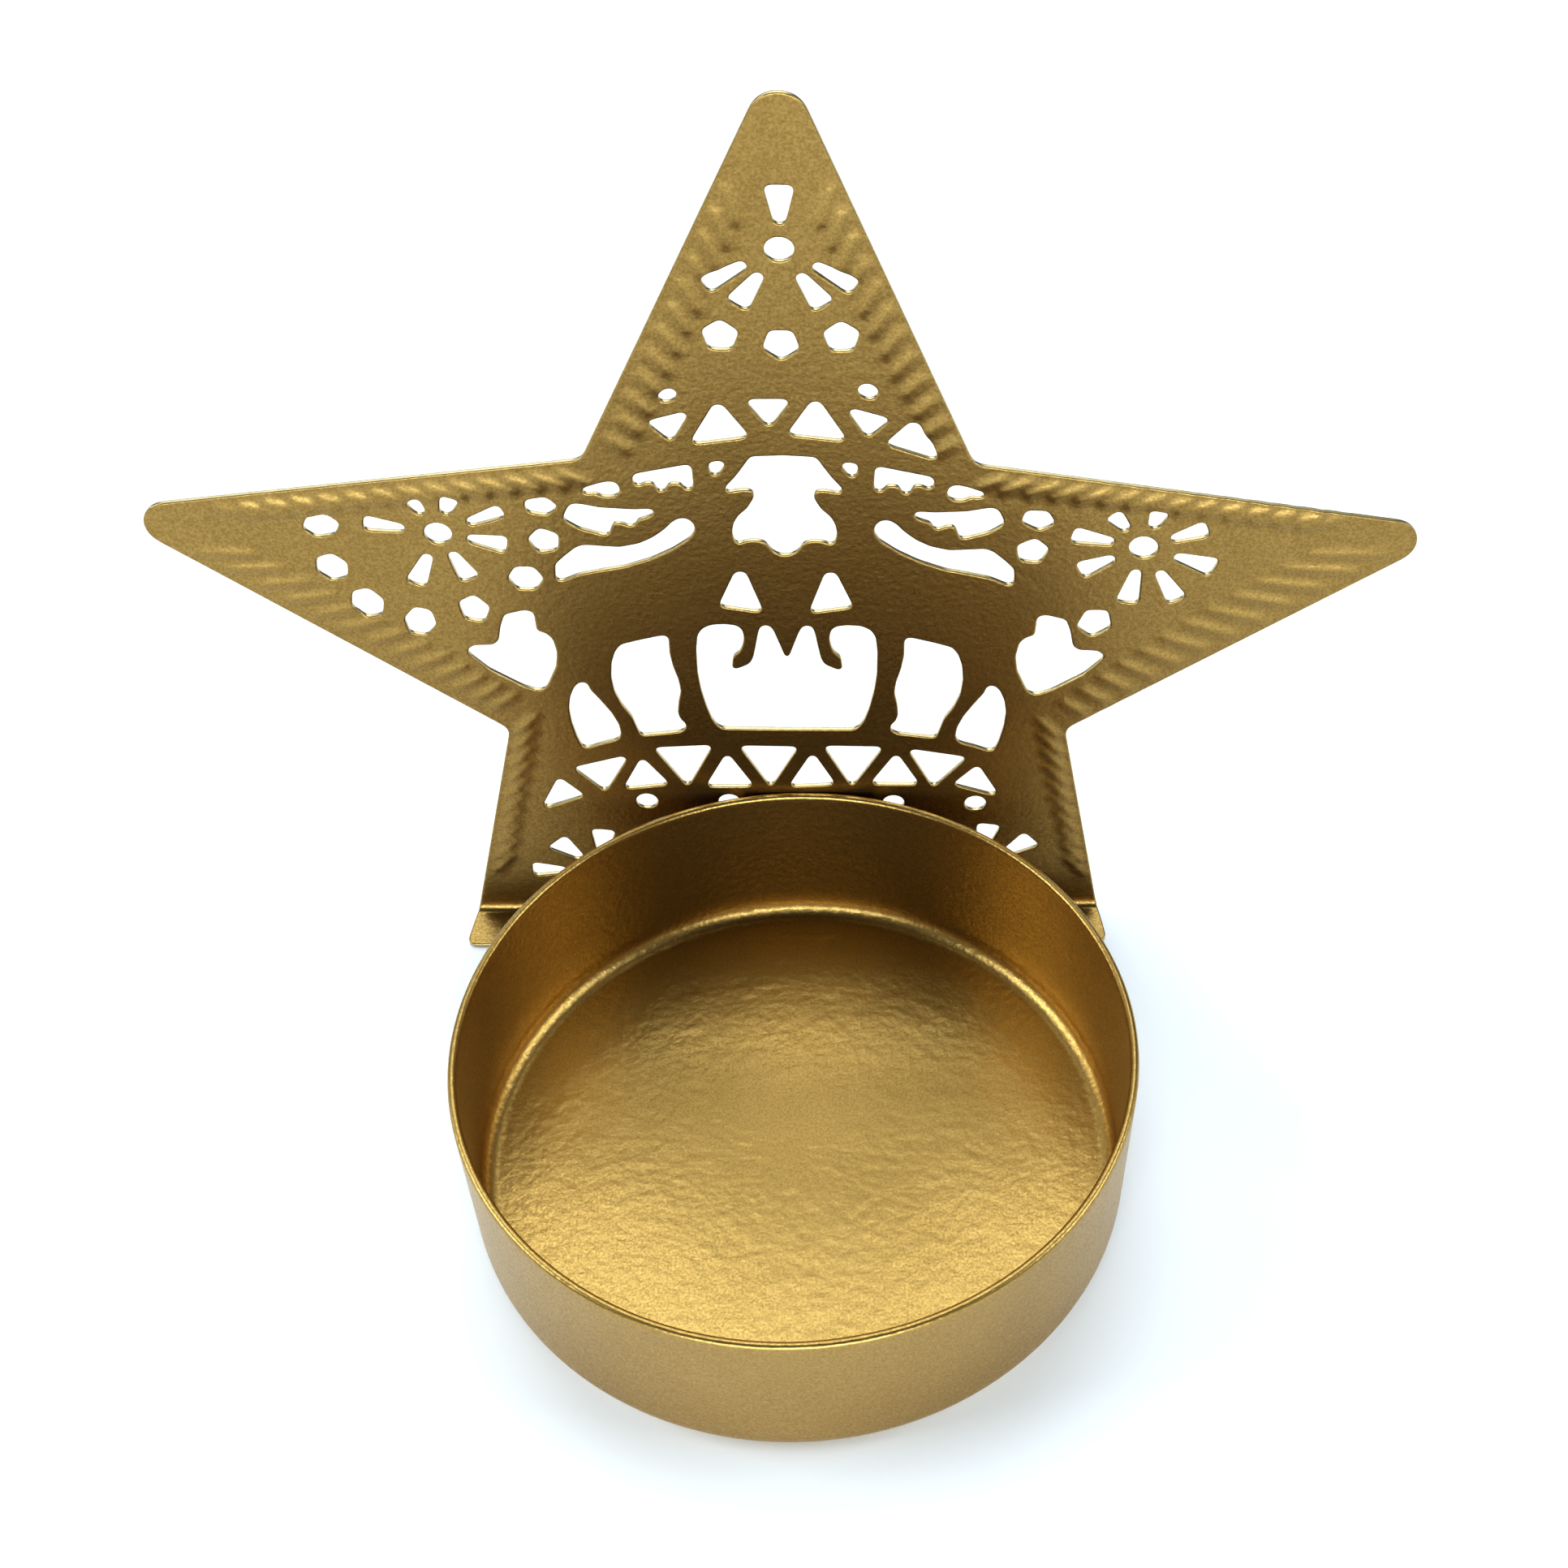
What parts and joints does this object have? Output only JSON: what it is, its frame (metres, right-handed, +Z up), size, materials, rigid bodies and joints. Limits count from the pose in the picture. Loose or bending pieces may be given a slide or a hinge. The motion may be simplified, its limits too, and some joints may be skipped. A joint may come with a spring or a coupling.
{
  "type": "tealight holder",
  "caption": "Star-shaped pierced metal panel with a pair of folk-style reindeer, standing behind a shallow round cup for a tealight.",
  "frame": {"origin": "centre of the cup's underside, on the table", "axes": "+X to the viewer's right along the star panel, -Y to the front, from the panel towards the cup, +Z up"},
  "size_m": [0.0783, 0.0433, 0.0649],
  "materials": {
    "star_gold": "satin",
    "cup_gold": "satin",
    "solder": "satin"
  },
  "bodies": {
    "root": {"star_panel": "star_gold", "tealight_cup": "cup_gold", "solder_seam_left": "solder", "solder_seam_right": "solder"}
  },
  "joints": []
}
